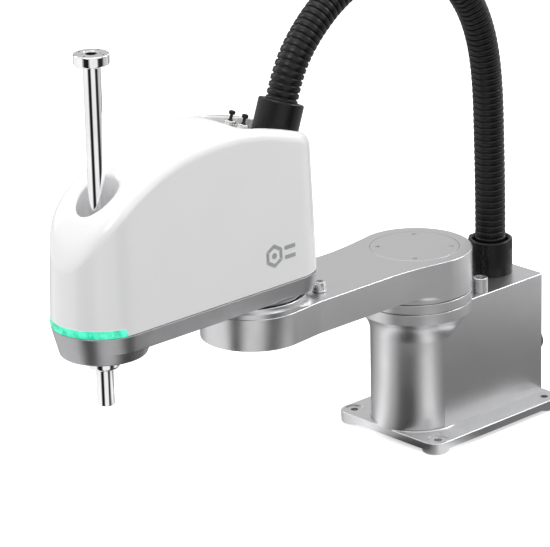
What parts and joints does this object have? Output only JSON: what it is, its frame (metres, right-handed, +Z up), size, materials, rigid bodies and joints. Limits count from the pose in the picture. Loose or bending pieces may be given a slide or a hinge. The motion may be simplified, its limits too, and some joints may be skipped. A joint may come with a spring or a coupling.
{
  "type": "scara robot arm",
  "caption": "Tabletop SCARA robot arm with two horizontal swinging arms, a vertical quill that slides and turns, and a corrugated cable duct.",
  "frame": {"origin": "centre of the mounting pad under the column, on the first swing axis, in the plane of the feet", "axes": "+Z up along the swing axes, -Y along the arms stretched straight ahead, +X to the right seen from in front, looking along +Y"},
  "size_m": [0.176, 0.7562, 0.6267],
  "materials": {
    "cast_aluminium": "fine satin, clear coated",
    "arm2_aluminium": "fine satin, a little darker",
    "white_shell": "gloss white",
    "ground_chrome": "ground and polished",
    "bright_steel": "turned",
    "black_nylon": "satin black",
    "black_rubber": "matt",
    "green_lens": "lit diffuser",
    "motor_black": "black paint",
    "plated_brass": "nickel plated",
    "circuit_board": "solder mask",
    "battery_case": "moulded"
  },
  "bodies": {
    "base": {"base_casting": "cast_aluminium", "j1_reducer_housing": "cast_aluminium", "j1_motor": "motor_black", "rear_panel": "bright_steel", "power_connector": "black_nylon", "signal_connector": "black_nylon", "base_air_fitting_1": "plated_brass", "base_air_fitting_2": "plated_brass", "encoder_battery": "battery_case", "j1_stop_post_left": "bright_steel", "j1_stop_post_right": "bright_steel", "base_duct_collar": "black_nylon", "rear_panel_screw_1": "bright_steel", "rear_panel_screw_2": "bright_steel", "rear_panel_screw_3": "bright_steel", "rear_panel_screw_4": "bright_steel"},
    "arm1": {"arm1_casting": "cast_aluminium", "j1_cap": "cast_aluminium", "j1_cap_screw_1": "bright_steel", "j1_cap_screw_2": "bright_steel", "j1_cap_screw_3": "bright_steel", "j1_cap_screw_4": "bright_steel", "j1_output_flange": "bright_steel", "arm1_bottom_cover": "cast_aluminium", "j2_reducer": "bright_steel", "j2_stop_screw_left": "bright_steel", "j2_stop_screw_right": "bright_steel", "cable_duct": "black_nylon"},
    "arm2": {"arm2_casting": "arm2_aluminium", "arm2_cover": "white_shell", "status_light": "green_lens", "arm2_duct_collar": "black_nylon", "air_fitting_left": "plated_brass", "air_fitting_right": "plated_brass", "air_plug_left": "black_nylon", "air_plug_right": "black_nylon", "j2_output_flange": "bright_steel", "j2_motor": "motor_black", "motor_bracket": "cast_aluminium", "z_motor": "motor_black", "r_motor": "motor_black", "spline_nut_bearing": "bright_steel", "nut_bearing": "bright_steel", "z_belt": "black_rubber", "r_belt": "black_rubber", "control_board": "circuit_board"},
    "z_motor_rotor": {"z_motor_pulley": "bright_steel"},
    "r_motor_rotor": {"r_motor_pulley": "bright_steel"},
    "spline": {"spline_nut": "bright_steel", "r_pulley": "bright_steel"},
    "ball_nut": {"ball_screw_nut": "bright_steel", "z_pulley": "bright_steel"},
    "quill": {"quill_shaft": "ground_chrome", "quill_top_collar": "ground_chrome", "quill_stop_ring": "ground_chrome"}
  },
  "joints": [
    {"name": "j1_swing", "type": "hinge", "parent": "base", "child": "arm1", "pos_m": [0, 0, 0.188], "axis": [0, 0, 1], "range_deg": [-132, 132], "deforming": ["cable_duct"]},
    {"name": "j2_swing", "type": "hinge", "parent": "arm1", "child": "arm2", "pos_m": [0, -0.27, 0.252], "axis": [0, 0, 1], "range_deg": [-120, 120], "deforming": ["cable_duct"]},
    {"name": "quill_turn", "type": "hinge", "parent": "arm2", "child": "spline", "pos_m": [0, -0.5, 0.26], "axis": [0, 0, 1], "range_deg": [-360, 360]},
    {"name": "quill_slide", "type": "slide", "parent": "spline", "child": "quill", "axis": [0, 0, 1], "range_m": [-0.15, 0]},
    {"name": "ball_nut_turn", "type": "hinge", "parent": "spline", "child": "ball_nut", "pos_m": [0, -0.5, 0.32], "axis": [0, 0, 1], "range_deg": [-2700, 0]},
    {"name": "z_motor_turn", "type": "hinge", "parent": "arm2", "child": "z_motor_rotor", "pos_m": [-0.024, -0.402, 0.303], "axis": [0, 0, 1], "range_deg": [-5625, 0]},
    {"name": "r_motor_turn", "type": "hinge", "parent": "arm2", "child": "r_motor_rotor", "pos_m": [0.024, -0.402, 0.288], "axis": [0, 0, 1], "range_deg": [-720, 720]}
  ],
  "couplings": [
    {"joint": "ball_nut_turn", "follows": "quill_slide", "rad_per_m": 314.16},
    {"joint": "z_motor_turn", "follows": "quill_slide", "rad_per_m": 654.5},
    {"joint": "r_motor_turn", "follows": "quill_turn", "ratio": 2}
  ]
}
